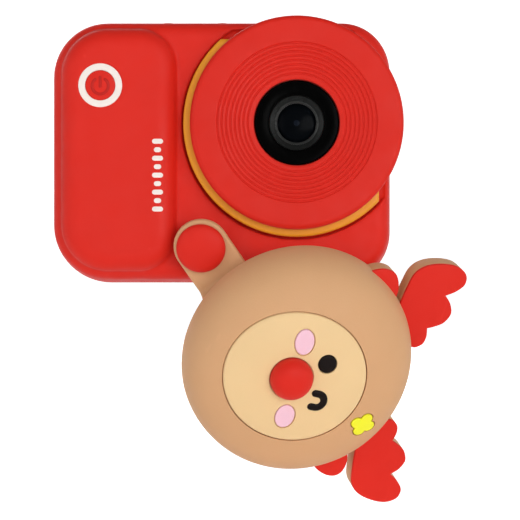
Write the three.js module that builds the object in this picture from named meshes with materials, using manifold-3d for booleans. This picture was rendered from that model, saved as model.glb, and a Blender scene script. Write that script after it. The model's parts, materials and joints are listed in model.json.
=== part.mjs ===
// A kids digital camera in a silicone sleeve, with a reindeer lens cover that swings on a strap.
// Millimetres. +X is right as seen from the front, the front faces -Y, +Z is up.
// The origin is the centre of the flat base. Depths are given as w, the distance from the
// middle of the body towards the front, so w = -y.
import * as THREE from "three";
import { mergeVertices } from "three/addons/utils/BufferGeometryUtils.js";
import Module from "manifold-3d";

const wasm = await Module();
wasm.setup();

// ---- Driving dimensions ----
const GAP = 0.3;                                   // clearance between neighbouring pieces

const BODY = { width: 95, height: 73, front: 14, back: -14, leftCorner: 16, rightCorner: 14 };
const FRONT_FILLET = 6;
const REAR_FILLET = 3.5;
const SLEEVE_WALL = 2;
const REAR_LIP = 6;                                // how far the sleeve wraps over the back
const HOUSING_WALL = 1.8;
const PANEL_DEPTH = 13.8;                          // how far back the rear panel stands

const GRIP = {
  x0: -43.5, x1: -12.5, z0: 3.6, z1: 69.4, rise: 4, leftCorner: 12.5, rightCorner: 10, fillet: 3,
};

const LENS = { x: 20.6, z: 43.5 };
const RECESS = { radius: 32, right: 45.3, top: 69.9 };
const COLLAR = { radius: 31, right: 43, top: 66.8, front: 18, wall: 2, bore: 9 };
const HOOD = { radius: 28.9, front: 21.8, mouth: 11.6 };
const BEZEL = { radius: 11.3, bore: 5.3, front: 19.9 };
const BARREL = { radius: 7, bore: 5, back: 4.5 };

const POWER = { x: -32.7, z: 53.8, radius: 3.85, ring: 6.1 };
const TOP_BUTTONS = [["shutter_button", -15.3], ["mode_button", 0]];
const TOP_BUTTON = { radius: 2.7, depth: -3, proud: 0.9 };

const SCREEN = { x: 13.5, z: 38, width: 52, height: 40 };
const REAR_LENS = { x: 13.5, z: 62.4, radius: 2.4 };
const PAD = { x: -28.6, z: 38, pitch: 7.8 };
const SPEAKER = { x: -25, z: 16.6, radius: 6.5 };
const SCREWS = [[-36, 11.5], [-36, 61.5], [36.6, 10.9], [36.6, 62.1]];
const BOARD = { back: -6.8, front: -5.4 };
const PORT = { z0: 20, z1: 52, y0: -2, y1: 8 };

// The cover turns about a pivot whose axis leans down from the front face's normal.
const PIVOT = new THREE.Vector3(-5.2, -19, 10.1);
const PIVOT_LEAN = THREE.MathUtils.degToRad(14.7);
const PIVOT_HEADING = THREE.MathUtils.degToRad(-95);
const OPEN_TURN = THREE.MathUtils.degToRad(103.3);
const FACE_ROLL = THREE.MathUtils.degToRad(-4.4);
const STRAP = { radius: 7.55, bore: 3.4, half: 1.3, reach: 9.4, heading: THREE.MathUtils.degToRad(-56.5) };
const PIVOT_BUTTON = { radius: 6.8, stem: 3.1 };
const COVER_SHORT = { x: 2.81, z: 3.51 };          // the strap is this much short of the lens axis
const COVER_REST = 15.4;                           // cap underside above the front face

const HEAD = { radius: 32.2, rim: 6.5, height: 20, lip: 29.3, pocket: 5 };
const FACE = { z: -4.8, halfWidth: 17.8, halfHeight: 19.5 };
const NOSE = { x: -0.5, z: -7, radius: 5.9, rise: 3.6 };
const EYES = { x: 5.2, z: 2.85, radius: 2.45 };
const CHEEKS = { x: 10.7, z: -4.7, halfWidth: 3.4, halfHeight: 2.7 };
const FLOWER = { x: 11.8, z: 20.2, petal: 1.55, spread: 1.75, turned: 0.35 };
const HORN_BACK = 0.6;
const HORN_FRONT = 4.6;
const HORN_LAYER = 1;
const HORN_SHIFT = 1.2;                            // one antler sits this much lower, the other higher

// ---- Looks ----
function look(color, roughness = 0.6, metalness = 0) {
  return new THREE.MeshStandardMaterial({ color, roughness, metalness });
}
const RED = look(0xde372a, 0.55);
const YELLOW = look(0xf0a037, 0.5);
const TAN = look(0xd4a67a, 0.65);
const CREAM = look(0xf2ce9b, 0.65);
const PINK = look(0xfacada, 0.6);
const NEAR_BLACK = look(0x1e1414, 0.4);
const GLASS_BLACK = look(0x0c0c10, 0.08);
const LENS_GLASS = look(0x202a3c, 0.05);
const WHITE = look(0xfdf0e6, 0.5);
const PLASTIC_WHITE = look(0xeae6e0, 0.5);
const FLOWER_YELLOW = look(0xfffa3c, 0.55);
const BOARD_GREEN = look(0x1f6b3c, 0.5);
const STEEL = look(0xb8bcc0, 0.3, 0.9);
const SILVER_FOIL = look(0xc9ccd0, 0.35, 0.7);

// ---- Solids ----
function signedVolume(position, index) {
  const a = new THREE.Vector3();
  const b = new THREE.Vector3();
  const c = new THREE.Vector3();
  let volume = 0;
  for (let i = 0; i < index.length; i += 3) {
    a.fromArray(position, 3 * index[i]);
    b.fromArray(position, 3 * index[i + 1]);
    c.fromArray(position, 3 * index[i + 2]);
    volume += a.dot(b.cross(c));
  }
  return volume;
}

// A closed geometry as a solid: vertices merged, empty triangles dropped, faces pointing out.
function solid(geometry) {
  geometry.deleteAttribute("normal");
  geometry.deleteAttribute("uv");
  const merged = mergeVertices(geometry, 1e-4);
  const all = merged.index.array;
  const kept = [];
  for (let i = 0; i < all.length; i += 3) {
    const [a, b, c] = [all[i], all[i + 1], all[i + 2]];
    if (a !== b && b !== c && c !== a) {
      kept.push(a, b, c);
    }
  }
  const position = merged.attributes.position.array;
  if (signedVolume(position, kept) < 0) {
    kept.reverse();
  }
  return new wasm.Manifold(new wasm.Mesh({
    numProp: 3,
    vertProperties: new Float32Array(position),
    triVerts: new Uint32Array(kept),
  }));
}

// A flat shape drawn in X and Z, given thickness from depth `back` to depth `front`.
function plate(shape, back, front, bevel = 0, curveSegments = 8, bevelSegments = 2) {
  const geometry = new THREE.ExtrudeGeometry(shape, {
    depth: front - back - 2 * bevel,
    bevelEnabled: bevel > 0,
    bevelThickness: bevel,
    bevelSize: bevel,
    bevelOffset: -bevel,
    bevelSegments,
    curveSegments,
  });
  geometry.translate(0, 0, back + bevel);
  geometry.rotateX(Math.PI / 2);
  return solid(geometry);
}

// A turned solid about an axis along the depth through (x, z), from [radius, w] pairs.
function turned(profile, x = 0, z = 0, segments = 24) {
  const points = profile.map(([radius, w]) => new THREE.Vector2(radius, w));
  const geometry = new THREE.LatheGeometry(points, segments);
  geometry.rotateX(Math.PI);
  geometry.translate(x, 0, z);
  return solid(geometry);
}

function disc(radius, back, front, x = 0, z = 0, segments = 24) {
  return turned([[0, back], [radius, back], [radius, front], [0, front]], x, z, segments);
}

function ring(inner, outer, back, front, x = 0, z = 0, segments = 24) {
  const profile = [[inner, back], [outer, back], [outer, front], [inner, front], [inner, back]];
  return turned(profile, x, z, segments);
}

function block(x0, x1, w0, w1, z0, z1) {
  const geometry = new THREE.BoxGeometry(x1 - x0, w1 - w0, z1 - z0);
  geometry.translate((x0 + x1) / 2, -(w0 + w1) / 2, (z0 + z1) / 2);
  return solid(geometry);
}

// A round rod along Z, used for the buttons and holes in the top.
function upright(radius, y, x, z0, z1) {
  const geometry = new THREE.CylinderGeometry(radius, radius, z1 - z0, 16);
  geometry.rotateX(Math.PI / 2);
  geometry.translate(x, y, (z0 + z1) / 2);
  return solid(geometry);
}

function circle(x, z, radius) {
  return new THREE.Shape().absarc(x, z, radius, 0, 2 * Math.PI, false);
}

function ellipse(x, z, halfWidth, halfHeight) {
  return new THREE.Shape().absellipse(x, z, halfWidth, halfHeight, 0, 2 * Math.PI, false);
}

// A rectangle whose left and right corners have their own radius, drawn `inset` inside its edge.
function roundedRect(x0, x1, z0, z1, leftCorner, rightCorner, inset = 0) {
  const left = leftCorner - inset;
  const right = rightCorner - inset;
  const turn = Math.PI / 2;
  const shape = new THREE.Shape();
  shape.absarc(x0 + leftCorner, z0 + leftCorner, left, 2 * turn, 3 * turn, false);
  shape.absarc(x1 - rightCorner, z0 + rightCorner, right, 3 * turn, 4 * turn, false);
  shape.absarc(x1 - rightCorner, z1 - rightCorner, right, 0, turn, false);
  shape.absarc(x0 + leftCorner, z1 - leftCorner, left, turn, 2 * turn, false);
  shape.closePath();
  return shape;
}

function bodyOutline(inset) {
  const half = BODY.width / 2;
  return roundedRect(-half, half, 0, BODY.height, BODY.leftCorner, BODY.rightCorner, inset);
}

function gripOutline(inset) {
  return roundedRect(GRIP.x0, GRIP.x1, GRIP.z0, GRIP.z1, GRIP.leftCorner, GRIP.rightCorner, inset);
}

// Skins a stack of equal-length convex outlines, each at its own depth, and closes both ends.
function loft(outlines) {
  const rings = outlines.map(({ shape, w }) => {
    const points = shape.getPoints(3);
    if (points[0].distanceTo(points.at(-1)) < 1e-6) {
      points.pop();
    }
    return points.map((p) => new THREE.Vector3(p.x, -w, p.y));
  });
  const count = rings[0].length;
  const vertices = rings.flat();
  const faces = [];
  for (let level = 0; level + 1 < rings.length; level += 1) {
    for (let i = 0; i < count; i += 1) {
      const next = (i + 1) % count;
      const low = level * count;
      const high = low + count;
      faces.push(low + i, high + i, high + next, low + i, high + next, low + next);
    }
  }
  const last = (rings.length - 1) * count;
  for (let i = 1; i + 1 < count; i += 1) {
    faces.push(0, i, i + 1);
    faces.push(last, last + i + 1, last + i);
  }
  const geometry = new THREE.BufferGeometry().setFromPoints(vertices);
  geometry.setIndex(faces);
  return solid(geometry);
}

// A body with a rounded edge at its front and another at its back.
function filletedBody(outline, inset, back, front, rearFillet, frontFillet, steps = 2) {
  const rings = [];
  for (let i = 0; i <= steps; i += 1) {
    const turn = (i / steps) * (Math.PI / 2);
    const shrink = rearFillet * (1 - Math.sin(turn));
    rings.push({ shape: outline(inset + shrink), w: back + rearFillet * (1 - Math.cos(turn)) });
  }
  for (let i = steps; i >= 0; i -= 1) {
    const turn = (i / steps) * (Math.PI / 2);
    const shrink = frontFillet * (1 - Math.sin(turn));
    rings.push({ shape: outline(inset + shrink), w: front - frontFillet * (1 - Math.cos(turn)) });
  }
  return loft(rings);
}

function cutAll(body, cutters) {
  return cutters.reduce((left, cutter) => left.subtract(cutter), body);
}

// ---- The scene graph ----
const camera = new THREE.Group();
const swing = new THREE.Group();                   // turns the cover to its open place
const cap = new THREE.Group();                     // the cap's own frame: underside centre, face up
const pivot = new THREE.Group();                   // its -Y axis is the leaning pivot axis
camera.add(swing, pivot);
swing.add(cap);

function add(group, name, body, material) {
  const { vertProperties, triVerts } = body.getMesh();
  const geometry = new THREE.BufferGeometry();
  geometry.setAttribute("position", new THREE.BufferAttribute(new Float32Array(vertProperties), 3));
  geometry.setIndex(new THREE.BufferAttribute(new Uint32Array(triVerts), 1));
  geometry.computeVertexNormals();
  const mesh = new THREE.Mesh(geometry, material);
  mesh.name = name;
  group.add(mesh);
}

// ---- Casing ----
const COVER_FRONT = BODY.front - SLEEVE_WALL - GAP;          // front face of the hard shell
const COVER_BACK = BODY.back + SLEEVE_WALL + GAP - 0.2;      // its back face, under the lip
const SHELL_INSET = SLEEVE_WALL + GAP;

function recessCut(radius, right, top, back, front) {
  const window = block(-BODY.width, right, back, front, -BODY.height, top);
  return disc(radius, back, front, LENS.x, LENS.z, 40).intersect(window);
}

function buildSleeve() {
  const outer = filletedBody(bodyOutline, 0, BODY.back, BODY.front, REAR_FILLET, FRONT_FILLET);
  const gripFront = BODY.front + GRIP.rise;
  const grip = filletedBody(gripOutline, 0, 0, gripFront, GAP, GRIP.fillet);
  const inner = filletedBody(bodyOutline, SLEEVE_WALL, COVER_BACK - GAP, COVER_FRONT + GAP, 1.5, 3.5);
  const portHole = block(-50, -44, -PORT.y1, -PORT.y0, PORT.z0, PORT.z1);
  const cutters = [
    inner,
    plate(bodyOutline(REAR_LIP), BODY.back - 1, COVER_BACK + 1, 0, 3),
    recessCut(RECESS.radius, RECESS.right, RECESS.top, COVER_FRONT - 1, BODY.front + 6),
    disc(POWER.ring + GAP, COVER_FRONT - 1, gripFront + 2, POWER.x, POWER.z),
    portHole,
  ];
  for (const [, x] of TOP_BUTTONS) {
    cutters.push(upright(TOP_BUTTON.radius + GAP, -TOP_BUTTON.depth, x, 65, 80));
  }
  return cutAll(outer.add(grip), cutters);
}

function buildFrontHousing() {
  const outer = filletedBody(bodyOutline, SHELL_INSET, 0, COVER_FRONT, 0.2, 3.2);
  const inner = filletedBody(bodyOutline, SHELL_INSET + HOUSING_WALL, -1, COVER_FRONT - HOUSING_WALL, 0.2, 2);
  const bosses = SCREWS.map(([x, z]) => disc(3, 0, COVER_FRONT - 1, x, z, 10));
  const shell = bosses.reduce((sum, boss) => sum.add(boss), outer.subtract(inner));
  const bores = SCREWS.map(([x, z]) => disc(1.2 + GAP, -1, 6, x, z, 10));
  const holes = [
    disc(BARREL.radius + GAP, 8, 13, LENS.x, LENS.z),
    disc(POWER.radius + GAP, 8, 13, POWER.x, POWER.z),
    block(-50, -40, -PORT.y1, -PORT.y0, PORT.z0, PORT.z1),
  ];
  return cutAll(shell, [...bores, ...holes]);
}

function keyPlaces() {
  const step = PAD.pitch;
  return [
    ["key_ok", PAD.x, PAD.z, 3.2],
    ["key_up", PAD.x, PAD.z + step, 2.6],
    ["key_down", PAD.x, PAD.z - step, 2.6],
    ["key_left", PAD.x + step, PAD.z, 2.6],
    ["key_right", PAD.x - step, PAD.z, 2.6],
    ["key_menu", PAD.x + 5.5, PAD.z + 16.5, 2.6],
    ["key_play", PAD.x - 5.5, PAD.z + 16.5, 2.6],
  ];
}

function screenShape(grow) {
  const halfWidth = SCREEN.width / 2 + grow;
  const halfHeight = SCREEN.height / 2 + grow;
  const corner = 2.5;
  return roundedRect(SCREEN.x - halfWidth, SCREEN.x + halfWidth,
    SCREEN.z - halfHeight, SCREEN.z + halfHeight, corner, corner);
}

function speakerHoles() {
  const holes = [disc(0.8, -15, -10, SPEAKER.x, SPEAKER.z, 6)];
  for (let i = 0; i < 6; i += 1) {
    const turn = (i / 6) * 2 * Math.PI;
    const x = SPEAKER.x + 3.2 * Math.cos(turn);
    const z = SPEAKER.z + 3.2 * Math.sin(turn);
    holes.push(disc(0.8, -15, -10, x, z, 6));
  }
  return holes;
}

function buildRearHousing() {
  const shell = filletedBody(bodyOutline, SHELL_INSET, COVER_BACK, -GAP, 1.5, 0.2);
  const panel = plate(bodyOutline(REAR_LIP + GAP), -PANEL_DEPTH, COVER_BACK + 1, 0, 3);
  const inner = filletedBody(bodyOutline, SHELL_INSET + HOUSING_WALL, COVER_BACK + HOUSING_WALL, 1, 1, 0.2);
  const deep = plate(bodyOutline(REAR_LIP + 1.6), 2 - PANEL_DEPTH, 0, 0, 3);
  const bosses = SCREWS.map(([x, z]) => disc(3, 1 - PANEL_DEPTH, -GAP, x, z, 10));
  const hollow = shell.add(panel).subtract(inner).subtract(deep);
  const walled = bosses.reduce((sum, boss) => sum.add(boss), hollow);
  const heads = SCREWS.map(([x, z]) => disc(2.3, -15, 1.4 - PANEL_DEPTH, x, z, 10));
  const bores = SCREWS.map(([x, z]) => disc(1.2 + GAP, -15, 1, x, z, 10));
  const keys = keyPlaces().map(([, x, z, radius]) => disc(radius + GAP, -15, -10, x, z, 14));
  const tops = TOP_BUTTONS.map(([, x]) => upright(TOP_BUTTON.radius + GAP, -TOP_BUTTON.depth, x, 60, 75));
  const holes = [
    plate(screenShape(GAP), -15, 1 - PANEL_DEPTH, 0, 2),
    plate(screenShape(-1.5), -15, -10, 0, 2),
    disc(REAR_LENS.radius + GAP, -15, 1 - PANEL_DEPTH, REAR_LENS.x, REAR_LENS.z, 14),
    disc(REAR_LENS.radius - 0.8, -15, -10, REAR_LENS.x, REAR_LENS.z, 14),
    block(-50, -40, -PORT.y1, -PORT.y0, PORT.z0, PORT.z1),
  ];
  return cutAll(walled, [...heads, ...bores, ...keys, ...tops, ...holes, ...speakerHoles()]);
}

function buildScrew(x, z) {
  const back = 0.4 - PANEL_DEPTH;
  const profile = [[0, back], [1.9, back], [1.9, back + 0.9], [1.2, back + 0.9], [1.2, 5], [0, 5.6]];
  const slot = block(x - 1.3, x + 1.3, back - 1, back + 0.4, z - 0.25, z + 0.25);
  return turned(profile, x, z, 10).subtract(slot);
}

// The flap plugs the port hole and hinges on the lower edge of it.
function buildPortFlap() {
  const outer = -BODY.width / 2;
  const lip = block(outer, outer + SLEEVE_WALL - GAP, -PORT.y1 + GAP, -PORT.y0 - GAP,
    PORT.z0 + GAP, PORT.z1 - GAP);
  const catchLip = block(outer - 0.7, outer + 0.5, -4.5, -1.5, PORT.z1 - 3.5, PORT.z1 - 1.2);
  return lip.add(catchLip);
}

function buildCasing() {
  add(camera, "silicone_sleeve", buildSleeve(), RED);
  add(camera, "front_housing", buildFrontHousing(), RED);
  add(camera, "rear_housing", buildRearHousing(), RED);
  SCREWS.forEach(([x, z], i) => add(camera, `housing_screw_${i + 1}`, buildScrew(x, z), STEEL));
  add(camera, "port_flap", buildPortFlap(), RED);
}

// ---- Lens group ----
function buildCollar() {
  const { radius, right, top, front, wall, bore } = COLLAR;
  const back = COVER_FRONT + GAP;
  const outer = recessCut(radius, right, top, back, front);
  const inner = recessCut(radius - wall, right - wall, top - wall, back - 1, front - wall);
  return outer.subtract(inner).subtract(disc(bore, back - 1, front + 1, LENS.x, LENS.z));
}

// The hood is a thick ring: a rounded outer edge, a grooved funnel, and a band round the glass.
function buildHood() {
  const { radius, front, mouth } = HOOD;
  const back = COLLAR.front + GAP;
  const profile = [
    [mouth, back], [radius - 0.4, back], [radius, back + 0.4], [radius, front - 1.4],
    [radius - 1.4, front], [22, front], [21.4, front - 0.5], [18.6, front - 0.7], [18.3, front - 1],
    [14, front - 1.2], [mouth, front - 1.5], [mouth, back],
  ];
  return turned(profile, LENS.x, LENS.z, 40);
}

function buildBezel() {
  const { radius, bore, front } = BEZEL;
  const back = COLLAR.front + GAP;
  const profile = [
    [bore, back], [radius, back], [radius, front - 0.3], [radius - 0.4, front],
    [7.6, front], [bore, front - 0.8], [bore, back],
  ];
  return turned(profile, LENS.x, LENS.z, 24);
}

function buildElement() {
  const back = COLLAR.front + GAP;
  const profile = [
    [0, back], [5, back], [5, back + 0.3], [3.8, back + 0.7], [2, back + 0.95], [0, back + 1.05],
  ];
  return turned(profile, LENS.x, LENS.z, 24);
}

function buildLensGroup() {
  add(camera, "lens_collar", buildCollar(), YELLOW);
  add(camera, "lens_hood", buildHood(), RED);
  add(camera, "lens_bezel", buildBezel(), GLASS_BLACK);
  add(camera, "lens_element", buildElement(), LENS_GLASS);
  add(camera, "lens_barrel",
    ring(BARREL.bore, BARREL.radius, BARREL.back, COLLAR.front - 0.2, LENS.x, LENS.z, 24),
    NEAR_BLACK);
  add(camera, "sensor_board", block(LENS.x - 9, LENS.x + 9, 2.9, 4.2, LENS.z - 9, LENS.z + 9), BOARD_GREEN);
}

// ---- Electronics ----
function buildElectronics() {
  const corner = 14;
  const outline = roundedRect(-42, 42, 5.5, 65.5, corner, corner - 2);
  const bosses = SCREWS.map(([x, z]) => disc(3 + GAP, BOARD.back - 1, BOARD.front + 1, x, z, 10));
  add(camera, "main_board", cutAll(plate(outline, BOARD.back, BOARD.front, 0, 4), bosses), BOARD_GREEN);
  add(camera, "battery", block(-8, 34, BOARD.front + GAP, 1.4, 22, 56), SILVER_FOIL);
  add(camera, "speaker", disc(SPEAKER.radius, -11.4, -7.4, SPEAKER.x, SPEAKER.z, 24), NEAR_BLACK);
  add(camera, "usb_socket", block(-43.1, -36, BOARD.front + GAP, -1.9, 39, 48), STEEL);
  add(camera, "card_socket", block(-42.6, -28, BOARD.front + GAP, -3.3, 22, 36), STEEL);
  add(camera, "key_board", block(-39.5, -17.2, -9.3, -8.3, 26, 57.8), BOARD_GREEN);
  add(camera, "lcd_panel", block(SCREEN.x - 27, SCREEN.x + 25, -11.4, -9, SCREEN.z - 20.5, SCREEN.z + 20.5),
    SILVER_FOIL);
  add(camera, "screen_window", plate(screenShape(0), -PANEL_DEPTH, 0.7 - PANEL_DEPTH, 0, 2), GLASS_BLACK);
  add(camera, "rear_lens_window",
    disc(REAR_LENS.radius, -PANEL_DEPTH, 0.7 - PANEL_DEPTH, REAR_LENS.x, REAR_LENS.z, 14), GLASS_BLACK);
  add(camera, "rear_lens_module", block(REAR_LENS.x - 3, REAR_LENS.x + 3, -11.4, -8, 59.6, 65), NEAR_BLACK);
  const { x: powerX, z: powerZ } = POWER;
  add(camera, "power_switch",
    block(powerX - 3, powerX + 3, 3.2, 6.8, powerZ - 3, powerZ + 3), NEAR_BLACK);
  add(camera, "power_board",
    block(powerX - 5, powerX + 5, 1.7, 2.9, powerZ - 7, powerZ + 4), BOARD_GREEN);
}

// ---- Buttons ----
function buildPowerButton() {
  const front = BODY.front + GRIP.rise + 0.4;
  const { x, z, radius } = POWER;
  const profile = [
    [0, 7.8], [radius + 0.8, 7.8], [radius + 0.8, 8.9], [radius, 8.9],
    [radius, front - 0.6], [radius - 0.6, front], [0, front],
  ];
  return turned(profile, x, z, 24);
}

function buildTopButton(x) {
  const y = -TOP_BUTTON.depth;
  const top = BODY.height + TOP_BUTTON.proud;
  const stem = upright(TOP_BUTTON.radius, y, x, 67.9, top);
  return stem.add(upright(TOP_BUTTON.radius + 0.9, y, x, 66.7, 68.1));
}

function buildKey(x, z, radius) {
  const tip = -PANEL_DEPTH - 0.7;
  const profile = [
    [0, tip], [radius - 0.5, tip], [radius, tip + 0.5], [radius, -11.4],
    [radius + 0.7, -11.4], [radius + 0.7, -10.4], [0, -10.4],
  ];
  return turned(profile, x, z, 14);
}

function buildButtons() {
  const ringFront = BODY.front + GRIP.rise + GAP;
  add(camera, "power_ring",
    ring(POWER.radius + GAP, POWER.ring, COVER_FRONT + GAP, ringFront, POWER.x, POWER.z),
    WHITE);
  add(camera, "power_button", buildPowerButton(), RED);
  for (const [name, x] of TOP_BUTTONS) {
    add(camera, name, buildTopButton(x), RED);
  }
  for (const [name, x, z, radius] of keyPlaces()) {
    add(camera, name, buildKey(x, z, radius), PLASTIC_WHITE);
  }
}

// ---- Pivot and strap ----
function pivotAxis() {
  const lean = Math.sin(PIVOT_LEAN);
  return new THREE.Vector3(
    lean * Math.cos(PIVOT_HEADING), -Math.cos(PIVOT_LEAN), lean * Math.sin(PIVOT_HEADING),
  );
}

function placeCover() {
  const axis = pivotAxis();
  pivot.position.copy(PIVOT);
  pivot.quaternion.setFromUnitVectors(new THREE.Vector3(0, -1, 0), axis);
  swing.position.copy(PIVOT);
  swing.quaternion.setFromAxisAngle(axis, -OPEN_TURN);
  const closed = new THREE.Vector3(
    LENS.x - COVER_SHORT.x, -(BODY.front + COVER_REST), LENS.z - COVER_SHORT.z,
  );
  cap.position.copy(closed.sub(PIVOT));
  cap.rotation.y = -FACE_ROLL;
}

function buildStrap() {
  const { radius, bore, half, reach, heading } = STRAP;
  const along = new THREE.Vector2(Math.cos(heading), Math.sin(heading));
  const start = heading + Math.PI / 2;
  const shape = new THREE.Shape();
  shape.absarc(0, 0, radius, start, start + Math.PI, false);
  shape.lineTo(reach * along.x + radius * along.y, reach * along.y - radius * along.x);
  shape.lineTo(reach * along.x - radius * along.y, reach * along.y + radius * along.x);
  shape.closePath();
  return plate(shape, -half, half, 0.4, 6, 1).subtract(disc(bore, -4, 4, 0, 0, 16));
}

function buildPivotButton() {
  const { radius } = PIVOT_BUTTON;
  const under = STRAP.half + GAP;
  const profile = [
    [0, under], [radius - 0.6, under], [radius, under + 0.6], [radius, under + 1.2],
    [radius - 0.7, under + 2], [radius * 0.62, under + 2.7], [radius * 0.3, under + 3], [0, under + 3.1],
  ];
  return turned(profile, 0, 0, 24);
}

function buildPivotPost() {
  const { stem } = PIVOT_BUTTON;
  return disc(stem, -STRAP.half - 1.2, STRAP.half, 0, 0, 24);
}

function buildPivot() {
  add(pivot, "pivot_post", buildPivotPost(), RED);
  add(pivot, "pivot_button", buildPivotButton(), RED);
  add(pivot, "cover_strap", buildStrap(), TAN);
}

// ---- The reindeer cap ----
const DOME_STEPS = [0.96, 0.87, 0.74, 0.56, 0.32];   // shares of the radius where the dome is sampled

function domeHeight(radius) {
  const reach = Math.min(radius / HEAD.radius, 1);
  return HEAD.rim + (HEAD.height - HEAD.rim) * Math.sqrt(1 - reach ** 2.6);
}

// The dome of the head, lifted by `lift`: inlays are cut between two lifted domes.
function dome(lift, back) {
  const profile = [[0, back], [HEAD.radius, back], [HEAD.radius, HEAD.rim + lift]];
  for (const share of DOME_STEPS) {
    profile.push([share * HEAD.radius, domeHeight(share * HEAD.radius) + lift]);
  }
  profile.push([0, HEAD.height + lift]);
  return turned(profile, 0, 0, 36);
}

function buildHead() {
  const { radius, rim, lip, pocket } = HEAD;
  const outside = [[0, 0], [radius - 1.8, 0], [radius - 0.6, 1.2], [radius, 3.4], [radius, rim]];
  for (const share of DOME_STEPS) {
    outside.push([share * radius, domeHeight(share * radius)]);
  }
  outside.push([0, HEAD.height]);
  return turned(outside, 0, 0, 36).subtract(disc(lip, -1, pocket, 0, 0, 36));
}

function inlay(shape, rise, depth, curveSegments) {
  const prism = plate(shape, 4, HEAD.height + 6, 0, curveSegments);
  return prism.intersect(dome(rise, 0)).subtract(dome(-depth, -1));
}

function pocketFor(shape, depth, curveSegments) {
  return plate(shape, 4, HEAD.height + 6, 0, curveSegments).subtract(dome(-depth, -1));
}

function winkShape(grow) {
  const { x, z, radius } = EYES;
  const half = 0.75 + grow;
  const shape = new THREE.Shape();
  shape.absarc(x, z - 1, radius + half, 0, Math.PI, false);
  shape.absarc(x, z - 1, radius - half, Math.PI, 0, true);
  shape.closePath();
  return shape;
}

// Four round petals about the middle, each arc ending where it would meet the next one.
function flowerShape(grow) {
  const { x, z, spread, turned: roll } = FLOWER;
  const petal = FLOWER.petal + grow;
  const notch = (spread + Math.sqrt(2 * petal * petal - spread * spread)) / 2;
  const open = Math.atan2(notch, notch - spread) - 0.02;
  const shape = new THREE.Shape();
  for (let i = 0; i < 4; i += 1) {
    const turn = (i / 4) * 2 * Math.PI + roll;
    const cx = x + spread * Math.cos(turn);
    const cz = z + spread * Math.sin(turn);
    shape.absarc(cx, cz, petal, turn - open, turn + open, false);
  }
  shape.closePath();
  return shape;
}

function mirrored(points, side) {
  return points.map(([u, v]) => new THREE.Vector2(side < 0 ? u : -u, v));
}

// An antler: a smooth outer edge up to the tip, then three round lobes with two notches.
function antlerShape(side) {
  const shift = side * HORN_SHIFT;
  const lift = (points) => mirrored(points, side).map((p) => p.add(new THREE.Vector2(0, shift)));
  const [start] = lift([[-21, 22]]);
  const outer = lift([
    [-29, 23.9], [-33.6, 26.6], [-36, 32.8], [-35.4, 38.4], [-32.2, 40.8], [-29.2, 39.4], [-27.6, 36.2],
  ]);
  const middle = lift([[-25.2, 39.2], [-21.8, 39.8], [-18.8, 37.8], [-17.6, 33.9]]);
  const inner = lift([[-15.4, 34.4], [-12.2, 33.2], [-10.6, 30.6], [-12, 28]]);
  const shape = new THREE.Shape();
  shape.moveTo(start.x, start.y);
  shape.splineThru(outer);
  shape.splineThru(middle);
  shape.splineThru(inner);
  shape.closePath();
  return shape;
}

// An ear: a short round leaf whose root runs in under the head.
function earShape(side) {
  const points = [[-26, 11], [-30.2, 14.4], [-31.1, 18.6], [-28.6, 20.9], [-23, 20]];
  const [first, ...rest] = mirrored(points, side);
  const shape = new THREE.Shape();
  shape.moveTo(first.x, first.y);
  shape.splineThru(rest);
  shape.lineTo(side * 17, 17);
  shape.closePath();
  return shape;
}

function buildHorn(name, shape, segments) {
  const wall = HEAD.radius + GAP;
  const rimCut = turned([[0, -1], [HEAD.radius - 1.5, -1], [wall, 1.2], [wall, 9], [0, 9]], 0, 0, 36);
  const back = plate(shape, HORN_BACK, HORN_FRONT, 0, segments).subtract(rimCut);
  const front = plate(shape, HORN_FRONT + GAP, HORN_FRONT + GAP + HORN_LAYER, 0, segments).subtract(rimCut);
  add(cap, name, back, TAN);
  add(cap, `${name}_front`, front, RED);
}

function buildCap() {
  const face = ellipse(0, FACE.z, FACE.halfWidth, FACE.halfHeight);
  const faceHole = ellipse(0, FACE.z, FACE.halfWidth + GAP, FACE.halfHeight + GAP);
  const head = cutAll(buildHead(), [pocketFor(faceHole, 1.2, 12), pocketFor(flowerShape(GAP), 1.2, 3)]);
  const features = [
    ["eye_round", circle(-EYES.x, EYES.z, EYES.radius),
      circle(-EYES.x, EYES.z, EYES.radius + GAP), NEAR_BLACK],
    ["eye_wink", winkShape(0), winkShape(GAP), NEAR_BLACK],
  ];
  for (const [name, side] of [["cheek_left", -1], ["cheek_right", 1]]) {
    const { x, z, halfWidth, halfHeight } = CHEEKS;
    const patch = ellipse(side * x, z, halfWidth, halfHeight);
    const hole = ellipse(side * x, z, halfWidth + GAP, halfHeight + GAP);
    features.push([name, patch, hole, PINK]);
  }
  let plateBody = inlay(face, 0.4, 0.9, 12);
  const noseHole = disc(NOSE.radius + GAP, 4, 30, NOSE.x, NOSE.z, 20);
  plateBody = plateBody.subtract(noseHole);
  for (const [name, shape, hole, material] of features) {
    plateBody = plateBody.subtract(pocketFor(hole, 0.3, 6));
    add(cap, name, inlay(shape, 0.8, 0, 6), material);
  }
  add(cap, "cover_cap", head, TAN);
  add(cap, "face_plate", plateBody, CREAM);
  add(cap, "flower", inlay(flowerShape(0), 0.6, 0.9, 3), FLOWER_YELLOW);
  const seat = HEAD.height - 0.6;
  const { radius, rise } = NOSE;
  const noseProfile = [
    [0, seat], [radius, seat], [radius, seat + 1.2], [radius * 0.86, seat + 2.6],
    [radius * 0.55, seat + rise + 0.3], [0, seat + rise + 0.8],
  ];
  add(cap, "nose", turned(noseProfile, NOSE.x, NOSE.z, 20), RED);
  buildHorn("antler_left", antlerShape(-1), 2);
  buildHorn("antler_right", antlerShape(1), 2);
  buildHorn("ear_left", earShape(-1), 3);
  buildHorn("ear_right", earShape(1), 3);
}

placeCover();
buildCasing();
buildLensGroup();
buildElectronics();
buildButtons();
buildPivot();
buildCap();

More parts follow.
